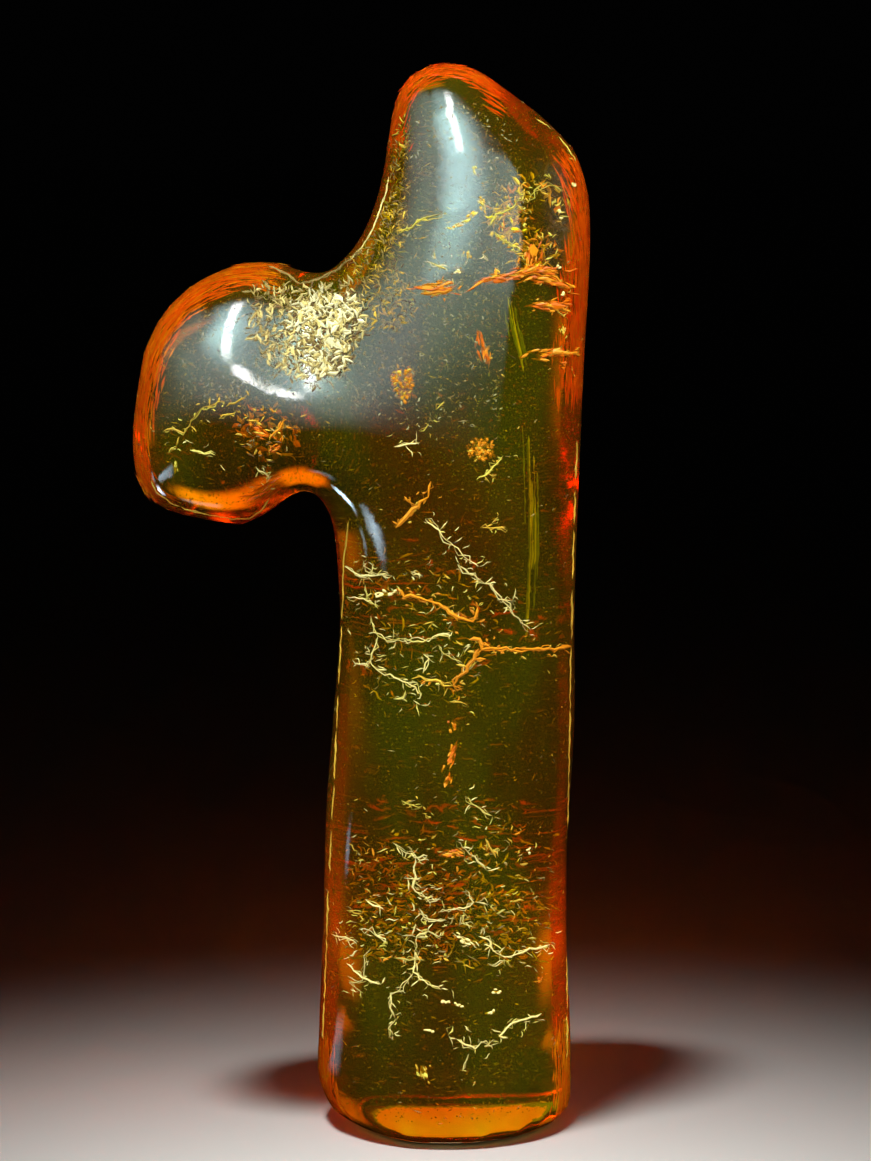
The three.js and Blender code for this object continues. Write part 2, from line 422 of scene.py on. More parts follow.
# Dust and haze: where they lie, how many there are, and their depths and half sizes in millimetres
LOWEST_DUST, HIGHEST_DUST = 1.2 * MM, 48.6 * MM
THINNEST_SHARE = 0.45
JUST_UNDER = 0.05 * MM
TOO_LEVEL = 0.2
DUST_COUNT = 3500
DUST_IN_SKIN_CHANCE = 0.3
DUST_LENGTHS = (0.05, 0.08, 0.12, 0.2)
DUST_WIDTHS = (0.018, 0.034)
DUST_STRETCH = (0.7, 1.3)
DUST_SHALLOWEST, DUST_REACH = 0.05, 1.2
DUST_TURN = 0.6
HAZE_COUNT = 40000
HAZE_SIZES = (0.012, 0.034)
HAZE_SHALLOWEST, HAZE_REACH = 0.04, 0.9
HAZE_MIX = 0.35
HAZE_PATCH = 5 * MM
HAZE_LEAN = 14 * MM
HAZE_FULL_HEIGHT = 32 * MM
HAZE_LOW_SHARE = 0.45
MOSS_ABOVE, OLIVE_ABOVE = 0.3, -0.25

# Painted rim glow scales: how many are tried, their depths and half sizes in millimetres, and their spread
RIM_GLOW_TRIES = 110000
RIM_GLOW_DEPTHS = (0.02, 0.25)
RIM_GLOW_LENGTHS = (0.3, 0.8)
RIM_GLOW_WIDTHS = (0.04, 0.09)
RIM_GLOW_THICKNESS = 0.03 * MM
RIM_GLOW_FADE, RIM_GLOW_TURN = (0.55, 1), 0.1


@dataclass
class Strokes:
    """Short bent strokes strewn by chance over an outline of pixels, but not over a hole in it. Depths and
    widths are in millimetres, and lengths in pixels. With a level they lie within about that many radians
    of level, and without one they lie any way."""

    outline: list
    count: int
    depths: tuple
    lengths: tuple
    widths: tuple
    tints: tuple
    level: float = None
    bend: float = STROKE_BEND
    hole: tuple = ()


# Tints that strokes share
PALES = (CREAM, PALE_YELLOW, STRAW, HONEY)
DEEP_GOLDS = (GOLD, GOLD, YELLOW, ORANGE, TAN)
SPARKS = (HONEY, LEMON, STRAW, FLAME)
BROWNS = (TAN, TAN, GOLD, BROWN, OLIVE)
RING_GOLDS = (YELLOW, GOLD, GOLD, ORANGE)
DRY_TINTS = (STRAW, HONEY, BARK)
WARM_TINTS = (TAN, ORANGE, GOLD)
SCALE_TINTS = (BARK, BARK, STRAW)

# Strokes of the two cracked zones
CRACK_STROKES = [
    Strokes(CRAZED_ZONE, 110, (0.1, 0.6), (6, 18), (0.05, 0.11), DEEP_GOLDS, level=0.9),
    Strokes(CRAZED_ZONE, 90, (0.0, 0.03), (4, 13), (0.05, 0.11), PALES, level=0.8),
    Strokes(TORN_ZONE, 200, (0.1, 0.7), (5, 15), (0.06, 0.13), DEEP_GOLDS, level=0.4),
    Strokes(TORN_ZONE, 220, (0.0, 0.03), (4, 11), (0.05, 0.12), SPARKS, level=0.6),
    Strokes(TORN_ZONE, 110, (0.0, 0.03), (5, 17), (0.05, 0.11), PALES, level=0.4),
]

# Strokes among the flakes
FLAKE_STROKES = [
    Strokes(EDGE_FLAKES, 260, (0.03, 0.3), (6, 14), (0.08, 0.16), BROWNS),
    Strokes(TIP_FLAKES, 120, (0.03, 0.4), (6, 14), (0.08, 0.16), BROWNS),
    Strokes(FLAKE_RING, 150, (0.6, 0.9), (10, 20), (0.2, 0.4), (BROWN,)),
    Strokes(FLAKE_RING, 150, (0.03, 0.3), (7, 16), (0.1, 0.22), RING_GOLDS, hole=RING_HOLE),
    Strokes(FLAKE_RING, 80, (0.0, 0.02), (5, 13), (0.06, 0.14), (HONEY, LEMON, FLAME), hole=RING_HOLE),
    Strokes(EDGE_FLAKES, 340, (0.0, 0.02), (4, 11), (0.05, 0.1), DRY_TINTS),
    Strokes(TIP_FLAKES, 140, (0.0, 0.02), (4, 10), (0.05, 0.1), DRY_TINTS),
    Strokes(BRANCH_CLUSTER, 70, (0.0, 0.02), (4, 11), (0.06, 0.12), (STRAW, HONEY, BARK, FLAME)),
    Strokes(BRANCH_CLUSTER, 60, (0.2, 0.6), (8, 16), (0.15, 0.3), WARM_TINTS),
    Strokes(TORN_HEART, 380, (0.4, 1.1), (5, 12), (0.07, 0.16), WARM_TINTS, level=0.5),
    # Pale flecks under the windows' reflection: partly painted sheen
    Strokes(PALE_FLECKS_AND_SHEEN, 1100, (0.0, 0.03), (3, 7), (0.04, 0.08), (PEARL, PEARL, STRAW)),
]

# How many strokes of each kind the crust has, in front and behind
FRONT_CRUST, BACK_CRUST = 520, 200


def metres(point):
    return Vector(point) * MM


# Lines of sight


class Sight:
    """The camera's lines of sight, or those of its opposite behind the object."""

    def __init__(self, behind=False):
        turn = Matrix.Rotation(math.pi if behind else 0.0, 3, "Z")
        self.forward = turn @ Vector((0, math.cos(PITCH), -math.sin(PITCH)))
        self.right = turn @ Vector((1, 0, 0))
        self.up = self.right.cross(self.forward)
        self.eye = CAMERA_AIM - self.forward * CAMERA_DISTANCE
        self.focal = LENS / SENSOR * PHOTO_HEIGHT
        self.pixel = CAMERA_DISTANCE / self.focal

    def line(self, pixel):
        x = pixel[0] - PHOTO_WIDTH / 2
        y = PHOTO_HEIGHT / 2 - pixel[1]
        return (self.forward * self.focal + self.right * x + self.up * y).normalized()

    def surface(self, pixel):
        """Where the line through a pixel meets the amber, the surface's normal there, and the line."""
        line = self.line(pixel)
        place, normal, _, _ = SKIN.ray_cast(self.eye, line)
        if place is None:
            return None
        return place, normal, line

    def inside(self, pixel, depth):
        """The point that deep along the line once the amber has bent it, and the bent line."""
        met = self.surface(pixel)
        if met is None:
            return None
        place, normal, line = met
        bent = refracted(line, normal)
        return place + bent * depth, bent

    def upright(self, bent):
        """Two directions square to a line in the amber: across the picture and up it."""
        across = (self.right - bent * self.right.dot(bent)).normalized()
        return across, across.cross(bent)


def refracted(line, normal):
    facing = -line.dot(normal)
    ratio = 1 / AMBER_IOR
    inner = math.sqrt(max(1 - ratio * ratio * (1 - facing * facing), 0))
    return (line * ratio + normal * (ratio * facing - inner)).normalized()


# Shader maths


class Wire:
    """A shader socket that takes part in arithmetic: each operator adds a Math node."""

    def __init__(self, finish, socket):
        self.finish = finish
        self.socket = socket

    def math(self, operation, *values):
        return self.finish.node("ShaderNodeMath", {"operation": operation}, dict(enumerate(values)))

    def __add__(self, other):
        return self.math("ADD", self, other)

    def __sub__(self, other):
        return self.math("SUBTRACT", self, other)

    def __rsub__(self, other):
        return self.math("SUBTRACT", other, self)

    def __mul__(self, other):
        return self.math("MULTIPLY", self, other)

    def other(self, name):
        """Another output of the same node."""
        return Wire(self.finish, self.socket.node.outputs[name])

    __radd__ = __add__
    __rmul__ = __mul__


class Finish:
    """The nodes of one material or lamp."""

    def __init__(self, owner):
        owner.use_nodes = True
        self.tree = owner.node_tree
        self.tree.nodes.clear()

    def node(self, kind, settings=None, sockets=None, out=0):
        node = self.tree.nodes.new(kind)
        for key, value in (settings or {}).items():
            setattr(node, key, value)
        for key, value in (sockets or {}).items():
            self.feed(node.inputs[key], value)
        return None if out is None else Wire(self, node.outputs[out])

    def feed(self, socket, value):
        if isinstance(value, Wire):
            self.tree.links.new(value.socket, socket)
        else:
            socket.default_value = value

    def noise(self, place, scale, detail=2.0):
        return self.node("ShaderNodeTexNoise", None, {"Vector": place, "Scale": scale, "Detail": detail})

    def place(self):
        return self.node("ShaderNodeTexCoord", out="Object")

    def blend(self, share, low, high):
        settings = {"data_type": "RGBA"}
        return self.node("ShaderNodeMix", settings, {"Factor": share, 6: low, 7: high}, out=2)

    def spread(self, value, low, high):
        """A value with the stretch from low to high drawn out to run from 0 to 1."""
        sockets = {"Value": value, "From Min": low, "From Max": high}
        return self.node("ShaderNodeMapRange", {"interpolation_type": "SMOOTHSTEP"}, sockets)

    def bump(self, height, distance):
        return self.node("ShaderNodeBump", None, {"Height": height, "Strength": 1.0, "Distance": distance})

    def principled(self, sockets):
        return self.node("ShaderNodeBsdfPrincipled", None, sockets)


def opaque(colour):
    return (*colour, 1.0)


# Materials


def polished_amber():
    material = bpy.data.materials.new("polished_amber")
    finish = Finish(material)
    place = finish.place()
    flow = finish.node("ShaderNodeMapping", None, {"Vector": place, "Scale": CLOUD_STRETCH})
    cloud = finish.noise(flow, CLOUD_SCALE, detail=4.0)
    grain = finish.noise(place, GRAIN_SCALE)
    wave = finish.noise(place, WAVE_SCALE, detail=1.0)
    tint = finish.blend(finish.spread(cloud, *CLOUD_EDGES), opaque(DARK_FLOW), opaque(LIGHT_FLOW))
    shader = finish.principled(
        {
            "Base Color": tint,
            "Roughness": grain * GRAIN_ROUGHNESS + POLISH_ROUGHNESS,
            "IOR": AMBER_IOR,
            "Transmission Weight": CLEARNESS,
            "Normal": finish.bump(grain * 0.4 + wave * 0.7, POLISH_RELIEF),
        }
    )
    amber_output(finish, shader)
    return material


def ground_flat():
    material = bpy.data.materials.new("ground_flat")
    finish = Finish(material)
    grain = finish.noise(finish.place(), FLAT_SCALE, detail=4.0)
    shader = finish.principled(
        {
            "Base Color": finish.blend(grain, opaque(FLAT_DARK), opaque(FLAT_LIGHT)),
            "Roughness": 0.9,
            "IOR": 1.0,
            "Specular IOR Level": 0.0,
            "Normal": finish.bump(grain, FLAT_RELIEF),
        }
    )
    amber_output(finish, shader)
    return material


def amber_output(finish, shader):
    """A surface with amber behind it, which takes up blue at once, green over some depth and red hardly."""
    sockets = {"Color": opaque(ABSORBED_COLOUR), "Density": ABSORPTION_DENSITY}
    depth_tint = finish.node("ShaderNodeVolumeAbsorption", None, sockets)
    finish.node("ShaderNodeOutputMaterial", None, {"Surface": shader, "Volume": depth_tint}, out=None)


def sealed_flecks(name, roughness):
    """The finish of cracks and flakes: each has its own tint, mottled a little."""
    material = bpy.data.materials.new(name)
    finish = Finish(material)
    tint = finish.node("ShaderNodeAttribute", {"attribute_name": "tint"}, out="Color")
    mottle = finish.noise(finish.place(), MOTTLE_SCALE)
    shade = finish.node(
        "ShaderNodeMix",
        {"data_type": "RGBA", "blend_type": "MULTIPLY"},
        {"Factor": mottle * MOTTLE_SHARE, 6: tint, 7: opaque(MOTTLE)},
        out=2,
    )
    shader = finish.principled({"Base Color": shade, "Roughness": roughness, "Specular IOR Level": 0.15})
    finish.node("ShaderNodeOutputMaterial", None, {"Surface": shader}, out=None)
    return material


def pale_floor():
    material = bpy.data.materials.new("pale_floor")
    finish = Finish(material)
    shader = finish.principled({"Base Color": opaque(FLOOR_PALE), "Roughness": 0.8})
    finish.node("ShaderNodeOutputMaterial", None, {"Surface": shader}, out=None)
    return material


# The amber body


def deselect():
    bpy.ops.object.select_all(action="DESELECT")


def hold(piece):
    """Makes a piece the only one selected, and active."""
    deselect()
    piece.select_set(True)
    bpy.context.view_layer.objects.active = piece


def apply_modifier(piece, kind, **settings):
    modifier = piece.modifiers.new(kind.lower(), kind)
    for key, value in settings.items():
        setattr(modifier, key, value)
    bpy.ops.object.modifier_apply(modifier=modifier.name)


def amber_body():
    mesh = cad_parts["amber"].data.copy()
    mesh.materials.clear()
    body = bpy.data.objects.new("amber_body", mesh)
    bpy.context.scene.collection.objects.link(body)
    hold(body)
    bpy.ops.mesh.customdata_custom_splitnormals_clear()
    bpy.ops.object.mode_set(mode="EDIT")
    bpy.ops.mesh.select_all(action="SELECT")
    bpy.ops.mesh.remove_doubles(threshold=MERGE_DISTANCE)
    bpy.ops.mesh.tris_convert_to_quads(face_threshold=QUAD_ANGLE, shape_threshold=QUAD_ANGLE)
    bpy.ops.object.mode_set(mode="OBJECT")
    apply_modifier(body, "SUBSURF", levels=2, render_levels=2)
    apply_modifier(body, "SMOOTH", factor=0.5, iterations=8)
    bpy.ops.object.shade_smooth()
    mesh.materials.append(polished_amber())
    mesh.materials.append(ground_flat())
    for face in body.data.polygons:
        face.material_index = int(face.center.z < FLAT_HEIGHT and face.normal.z < FACES_DOWN)
    return body


# Small shapes sealed in the amber


class Shards:
    """Small closed shapes gathered into one mesh, each with a tint of its own."""

    def __init__(self):
        self.points = []
        self.faces = []
        self.tints = []

    def add(self, points, faces, tint):
        first = len(self.points)
        self.points += points
        self.faces += [[first + corner for corner in face] for face in faces]
        self.tints += [opaque(tint)] * len(points)

    def flake(self, centre, along, across, thickness, tint, chance, sides=6):
        """A thin plate with an uneven rim, thickest in the middle."""
        rim = []
        for side in range(sides):
            angle = 2 * math.pi * side / sides
            reach = chance.uniform(*RIM_REACHES)
            rim.append(centre + along * (reach * math.cos(angle)) + across * (reach * math.sin(angle)))
        rise = along.cross(across).normalized() * (thickness / 2)
        top, bottom = sides, sides + 1
        faces = []
        for side in range(sides):
            after = (side + 1) % sides
            faces += [(side, after, top), (after, side, bottom)]
        self.add(rim + [centre + rise, centre - rise], faces, tint)

    def grain(self, centre, size, tint, chance):
        """A four-cornered grain, turned any way."""
        turn = Quaternion([chance.gauss(0, 1) for _ in range(4)]).normalized()
        corners = ((1, 1, 1), (1, -1, -1), (-1, 1, -1), (-1, -1, 1))
        points = [centre + turn @ (Vector(corner) * size) for corner in corners]
        self.add(points, [(0, 1, 2), (0, 3, 1), (0, 2, 3), (1, 3, 2)], tint)

    def crack(self, places, widths, deep, tint):
        """A blade along (point, line of sight) places, with a width at each, and one depth along sight."""
        points = [places[0][0]]
        for index in range(1, len(places) - 1):
            point, sight = places[index]
            run = places[index + 1][0] - places[index - 1][0]
            side = run.cross(sight).normalized() * (widths[index] / 2)
            points += [point + side, point + sight * (deep / 2), point - side, point - sight * (deep / 2)]
        points.append(places[-1][0])
        rings = len(places) - 2
        faces = []
        for corner in range(4):
            after = (corner + 1) % 4
            faces.append((0, 1 + after, 1 + corner))
            for ring in range(rings - 1):
                low, high = 1 + 4 * ring, 5 + 4 * ring
                faces.append((low + corner, low + after, high + after, high + corner))
            last = 1 + 4 * (rings - 1)
            faces.append((last + corner, last + after, len(points) - 1))
        self.add(points, faces, tint)

    def piece(self, name, material):
        mesh = bpy.data.meshes.new(name)
        mesh.from_pydata(self.points, [], self.faces)
        tint = mesh.color_attributes.new("tint", "FLOAT_COLOR", "POINT")
        tint.data.foreach_set("color", [value for colour in self.tints for value in colour])
        mesh.materials.append(material)
        piece = bpy.data.objects.new(name, mesh)
        bpy.context.scene.collection.objects.link(piece)
        hold(piece)
        bpy.ops.object.mode_set(mode="EDIT")
        bpy.ops.mesh.select_all(action="SELECT")
        bpy.ops.mesh.normals_make_consistent(inside=False)
        bpy.ops.object.mode_set(mode="OBJECT")
        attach(piece, "root")
        return piece


def jagged(line, chance, stray):
    """A line of pixels broken into short steps that stray from it to either side."""
    points = [line[0]]
    for start, end in zip(line, line[1:]):
        run = (end[0] - start[0], end[1] - start[1])
        length = math.hypot(*run)
        steps = max(2, round(length / CRACK_STEP))
        for step in range(1, steps + 1):
            off = chance.gauss(0, stray)
            share = step / steps
            points.append((start[0] + run[0] * share - run[1] / length * off,
                           start[1] + run[1] * share + run[0] / length * off))
    return points


def thorn(line, index, chance, reach):
    """A short spike that leaves a crack at one of its points."""
    (x0, y0), (x, y) = line[index - 1], line[index]
    side = chance.choice((-1, 1))
    heading = math.atan2(y - y0, x - x0) + side * math.radians(chance.uniform(*THORN_TURNS))
    return bent_line((x, y), heading, reach * chance.uniform(*THORN_REACHES), chance, THORN_BEND)


def bent_line(start, heading, length, chance, bend):
    """A line of three steps from a pixel, each turned a little from the last."""
    line = [start]
    for _ in range(3):
        x, y = line[-1]
        line.append((x + length / 3 * math.cos(heading), y + length / 3 * math.sin(heading)))
        heading += chance.gauss(0, bend)
    return line


def drifting(count, low, high, chance):
    """Values that wander between two bounds, a few steps from one choice to the next."""
    stride = 3
    knots = [chance.uniform(low, high) for _ in range(count // stride + 2)]
    values = []
    for index in range(count):
        knot, step = divmod(index, stride)
        values.append(knots[knot] + (knots[knot + 1] - knots[knot]) * step / stride)
    return values


def shaded(tint, chance, spread=PLAIN_SHADE):
    share = chance.uniform(1 - spread, 1)
    return tuple(value * share for value in tint)


def draw_crack(shards, sight, line, depth, width, deep, tint, chance):
    """One crack at a depth in the amber, under a line of photo pixels."""
    places = [sight.inside(pixel, depth) for pixel in line]
    places = [place for place in places if place is not None]
    if len(places) < 3:
        return
    widths = [width * share for share in drifting(len(places), *WIDTH_DRIFT, chance)]
    shards.crack(places, widths, deep, shaded(tint, chance, CRACK_SHADE))


def fleck(shards, sight, pixel, depth, length, width, angle, tint, chance):
    """One flake at a depth in the amber, under a photo pixel: its length and width are in pixels too."""
    spot = sight.inside(pixel, depth)
    if spot is None:
        return
    point, bent = spot
    across, up = sight.upright(bent)
    turn = math.radians(angle)
    tilt = bent * chance.uniform(-FLAKE_TILT, FLAKE_TILT)
    along = (across * math.cos(turn) + up * math.sin(turn) + tilt) * (length * sight.pixel / 2)
    over = (up * math.cos(turn) - across * math.sin(turn)) * (width * sight.pixel / 2)
    thickness = min(width * sight.pixel, THICKEST_FLAKE)
    shards.flake(point, along, over, thickness, shaded(tint, chance), chance)


def crack_set(shards, sight, lines, width, reach, tints, chance):
    """Cracks in the surface along lines of pixels: a strand, a finer one round it, thorns and bits."""
    wide = width * sight.pixel
    fine = wide * FINE_SHARE
    for drawn in lines:
        line = jagged(drawn, chance, STRAND_STRAY)
        draw_crack(shards, sight, line, IN_SKIN, wide, wide, chance.choice(tints), chance)
        astray = jagged(drawn, chance, FINE_STRAY)
        draw_crack(shards, sight, astray, IN_SKIN, fine, fine, chance.choice(tints), chance)
        for index in range(1, len(line)):
            if chance.random() < THORN_CHANCE:
                spike = thorn(line, index, chance, reach)
                tint = chance.choice(tints)
                draw_crack(shards, sight, spike, IN_SKIN, wide * THORN_SHARE, fine, tint, chance)
            if chance.random() < BIT_CHANCE:
                x, y = line[index]
                spot = (x + chance.gauss(0, reach * 0.5), y + chance.gauss(0, reach * 0.5))
                length = reach * chance.uniform(*BIT_REACHES)
                curl(shards, sight, spot, IN_SKIN, length, fine, chance.choice(tints), chance, BIT_LEVEL)


def dashes(shards, sight, line, tint, chance):
    """Two strands in the surface along a line of pixels, each broken into dashes."""
    for _ in range(2):
        strand = jagged(line, chance, EDGE_STRAY)
        while len(strand) > 3:
            run = chance.randint(*DASH_STEPS)
            draw_crack(shards, sight, strand[:run], IN_SKIN, DASH_WIDTH, DASH_DEEP, tint, chance)
            strand = strand[run + chance.randint(*GAP_STEPS):]


def splintered(shards, sight, plate, depth, tints, chance):
    """A plate broken into slivers that lie nearly along it, over a sheet of the same kind."""
    (x, y), length, width, angle = plate
    turn = math.radians(angle)
    for _ in range(max(FEWEST_SLIVERS, round(length * width / SLIVER_AREA))):
        along, over = chance.gauss(0, length / 4), chance.gauss(0, width / 4)
        spot = (x + along * math.cos(turn) + over * math.sin(turn),
                y - along * math.sin(turn) + over * math.cos(turn))
        sliver_depth = depth * chance.uniform(*SLIVER_DEPTHS)
        sliver_length = max(length * chance.uniform(*SLIVER_LENGTHS), SHORTEST_SLIVER)
        sliver_width = chance.uniform(*SLIVER_WIDTHS)
        heading = chance.gauss(angle, SLIVER_TURN)
        tint = chance.choice(tints)
        fleck(shards, sight, spot, sliver_depth, sliver_length, sliver_width, heading, tint, chance)
    sheet_length, sheet_width = length * SHEET_LENGTH_SHARE, width * SHEET_WIDTH_SHARE
    tint = chance.choice(tints)
    fleck(shards, sight, (x, y), depth + SHEET_DROP, sheet_length, sheet_width, angle, tint, chance)


def within(pixel, outline):
    """Whether a pixel lies inside a closed outline."""
    inside = False
    for (x0, y0), (x1, y1) in zip(outline, outline[1:] + outline[:1]):
        if (y0 > pixel[1]) != (y1 > pixel[1]):
            if pixel[0] < x0 + (x1 - x0) * (pixel[1] - y0) / (y1 - y0):
                inside = not inside
    return inside


def scattered(outline, count, chance, hole=()):
    """Pixels strewn by chance over an outline, but not over a hole in it."""
    low_x, high_x = min(x for x, y in outline), max(x for x, y in outline)
    low_y, high_y = min(y for x, y in outline), max(y for x, y in outline)
    found = []
    while len(found) < count:
        pixel = (chance.uniform(low_x, high_x), chance.uniform(low_y, high_y))
        if within(pixel, outline) and not within(pixel, list(hole)):
            found.append(pixel)
    return found


def curl(shards, sight, pixel, depth, length, width, tint, chance, level=None, bend=STROKE_BEND):
    """A short bent stroke, laid any way, or within about that many radians of level."""
    heading = chance.uniform(0, 2 * math.pi) if level is None else chance.gauss(0, level)
    line = bent_line(pixel, heading, length, chance, bend)
    draw_crack(shards, sight, line, depth, width, width * STROKE_DEEP_SHARE, tint, chance)


def strew(shards, sight, strokes, chance):
    for pixel in scattered(strokes.outline, strokes.count, chance, strokes.hole):
        depth = chance.uniform(*strokes.depths) * MM
        length = chance.uniform(*strokes.lengths)
        width = chance.uniform(*strokes.widths) * MM
        tint = chance.choice(strokes.tints)
        curl(shards, sight, pixel, depth, length, width, tint, chance, strokes.level, strokes.bend)


def mirrored(pixels):
    """The same pixels as the camera's opposite sees them."""
    return [(PHOTO_WIDTH - x, y) for x, y in pixels]


def cracks_and_edge_highlights(front, back):
    chance = random.Random(CRACK_SEED)
    shards = Shards()
    for lines, width, reach, tints in CRACK_SETS:
        crack_set(shards, front, lines, width, reach, tints, chance)
    for strokes in CRACK_STROKES:
        strew(shards, front, strokes, chance)
    for strokes in CRACK_STROKES:
        strew(shards, back, replace(strokes, outline=mirrored(strokes.outline)), chance)
    # Painted highlights: golden dashes along the silhouette, in place of the bright edge
    for line in EDGE_HIGHLIGHT_LINES:
        dashes(shards, front, line, HONEY, chance)
    # A painted glint: yellow dashes along the tip's right shoulder
    dashes(shards, front, PAINTED_YELLOW_GLINT, LEMON, chance)
    return shards.piece("cracks_and_edge_highlights", sealed_flecks("crack_and_highlight_faces", roughness=0.5))


def crust(shards, sight, outline, heart, count, chance):
    """Brown scale at the heart of the patch and round it, and pale curls over both, heaped at the heart."""
    kinds = (
        Strokes(heart, count, (0.0, 0.06), (6, 12), (0.1, 0.24), SCALE_TINTS),
        Strokes(outline, count, (0.0, 0.03), (5, 12), (0.05, 0.13), SCALE_TINTS),
        Strokes(outline, count, (-0.04, 0.02), (6, 13), (0.06, 0.15), (MAIZE, MAIZE, STRAW)),
        Strokes(heart, count // 2, (-0.1, 0.0), (8, 15), (0.1, 0.2), (CHALK, CHALK, MAIZE), bend=0.9),
    )
    for strokes in kinds:
        strew(shards, sight, strokes, chance)


def crust_and_neck_highlight(front, back):
    chance = random.Random(CRUST_SEED)
    shards = Shards()
    crust(shards, front, CRUST, CRUST_HEART, FRONT_CRUST, chance)
    crust(shards, back, mirrored(CRUST_HEART), mirrored(CRUST_HEART), BACK_CRUST, chance)
    for sight, ridge in ((front, SADDLE_RIDGE), (back, mirrored(SADDLE_RIDGE))):
        for _ in range(3):
            line = jagged(ridge, chance, RIDGE_STRAY)
            draw_crack(shards, sight, line, IN_SKIN, RIDGE_WIDTH, RIDGE_WIDTH, STRAW, chance)
    # A painted highlight along the neck's outline, drawn as cream cracks
    for _ in range(2):
        line = jagged(PAINTED_NECK_HIGHLIGHT, chance, NECK_HIGHLIGHT_STRAY)
        draw_crack(shards, front, line, IN_SKIN, NECK_HIGHLIGHT_WIDTH, NECK_HIGHLIGHT_DEEP, CREAM, chance)
    return shards.piece("crust_and_neck_highlight", sealed_flecks("crust_and_highlight_scale", roughness=0.9))


def flakes_glints_and_streak(front):
    chance = random.Random(FLAKE_SEED)
    shards = Shards()
    for plates, depth, tints in PLATES:
        for plate in plates:
            splintered(shards, front, plate, depth, tints, chance)
    for place, width, height in CLOTS:
        clot(shards, front, place, width, height, chance)
    for strokes in FLAKE_STROKES:
        strew(shards, front, strokes, chance)
    # A painted green streak, in place of light refracted up the column's right side
    for line in PAINTED_GREEN_STREAK:
        painted_streak_lines(shards, front, line, chance)
    return shards.piece("flakes_glints_and_streak", sealed_flecks("flake_glint_and_streak_faces", roughness=0.35))


def clot(shards, sight, place, width, height, chance):
    """An oval knot of short strokes."""
    x, y = place
    for _ in range(CLOT_STROKES):
        reach, turn = math.sqrt(chance.random()) * CLOT_FILL, chance.uniform(0, 2 * math.pi)
        spot = (x + width * reach * math.cos(turn), y + height * reach * math.sin(turn))
        depth = chance.uniform(*CLOT_DEPTHS) * MM
        length = chance.uniform(*CLOT_LENGTHS)
        curl(shards, sight, spot, depth, length, CLOT_STROKE_WIDTH, chance.choice(CLOT_TINTS), chance)


def painted_streak_lines(shards, sight, line, chance):
    """Fine strands side by side along stretches of a line of pixels: a painted streak of refracted light.
    """
    run = jagged(line, chance, STREAK_STRAY)
    for _ in range(STREAK_STRANDS):
        first = chance.randrange(len(run) // 2)
        last = chance.randrange(first + len(run) // 3, len(run))
        aside = chance.gauss(0, STREAK_SPREAD)
        strand = [(x + aside, y) for x, y in run[first:last]]
        depth = chance.uniform(*STREAK_DEPTHS) * MM
        draw_crack(shards, sight, strand, depth, STREAK_WIDTH, STREAK_DEEP, chance.choice((MOSS, LIME)), chance)


def skin_places(body, count, chance):
    """Points strewn evenly over the amber's surface, with the normal at each."""
    mesh = body.data
    mesh.calc_loop_triangles()
    triangles = mesh.loop_triangles
    for triangle in chance.choices(triangles, weights=[t.area for t in triangles], k=count):
        a, b, c = (mesh.vertices[corner].co for corner in triangle.vertices)
        u, v = chance.random(), chance.random()
        if u + v > 1:
            u, v = 1 - u, 1 - v
        yield a + (b - a) * u + (c - a) * v, triangle.normal


def sealed_dust(body):
    """Fine dashes, most of them near level, strewn all round in the surface and under it."""
    chance = random.Random(DUST_SEED)
    shards = Shards()
    for point, normal in skin_places(body, DUST_COUNT, chance):
        if not LOWEST_DUST < point.z < HIGHEST_DUST:
            continue
        if chance.random() < DUST_IN_SKIN_CHANCE:
            depth = IN_SKIN
            tints = (STRAW, STRAW, HONEY, BARK)
        else:
            depth = depth_below(point, normal, (DUST_SHALLOWEST + DUST_REACH * chance.random() ** 2) * MM)
            tints = (YELLOW, OLIVE, GOLD, TAN)
        half_length = chance.choice(DUST_LENGTHS) * chance.uniform(*DUST_STRETCH) * MM
        half_width = chance.uniform(*DUST_WIDTHS) * MM
        along = near_level(normal, chance.gauss(0, DUST_TURN))
        tint = shaded(chance.choice(tints), chance, DUST_SHADE)
        shards.flake(point - normal * depth, along * half_length, along.cross(normal) * half_width,
                     half_width, tint, chance, sides=4)
    return shards.piece("sealed_dust", sealed_flecks("dust_faces", roughness=0.5))


def depth_below(point, normal, wanted):
    """A depth under the surface, kept short of the middle where the amber is thin."""
    far = SKIN.ray_cast(point - normal * JUST_UNDER, -normal)[3]
    return wanted if far is None else min(wanted, far * THINNEST_SHARE)


def near_level(normal, turn):
    """A direction in the surface, turned that far from level."""
    level = normal.cross(Vector((0, 0, 1)))
    if level.length < TOO_LEVEL:
        level = normal.cross(Vector((0, 1, 0)))
    level.normalize()
    return level * math.cos(turn) + level.cross(normal) * math.sin(turn)


def sealed_haze(body):
    """Fine grains under the surface, densest in the upper half, in patches of green and brown."""
    chance = random.Random(HAZE_SEED)
    shards = Shards()
    for point, normal in skin_places(body, HAZE_COUNT, chance):
        share = max(HAZE_LOW_SHARE, min(point.z / HAZE_FULL_HEIGHT, 1) ** 2)
        if not LOWEST_DUST < point.z < HIGHEST_DUST or chance.random() > share:
            continue
        drift = noise.noise(point / HAZE_PATCH) + chance.gauss(0, HAZE_MIX) + point.x / HAZE_LEAN
        tint = MOSS if drift > MOSS_ABOVE else OLIVE if drift > OLIVE_ABOVE else TAN
        depth = depth_below(point, normal, (HAZE_SHALLOWEST + HAZE_REACH * chance.random() ** 2) * MM)
        size = chance.uniform(*HAZE_SIZES) * MM
        shards.grain(point - normal * depth, size, shaded(tint, chance, HAZE_SHADE), chance)
    return shards.piece("sealed_haze", sealed_flecks("haze_grains", roughness=0.5))


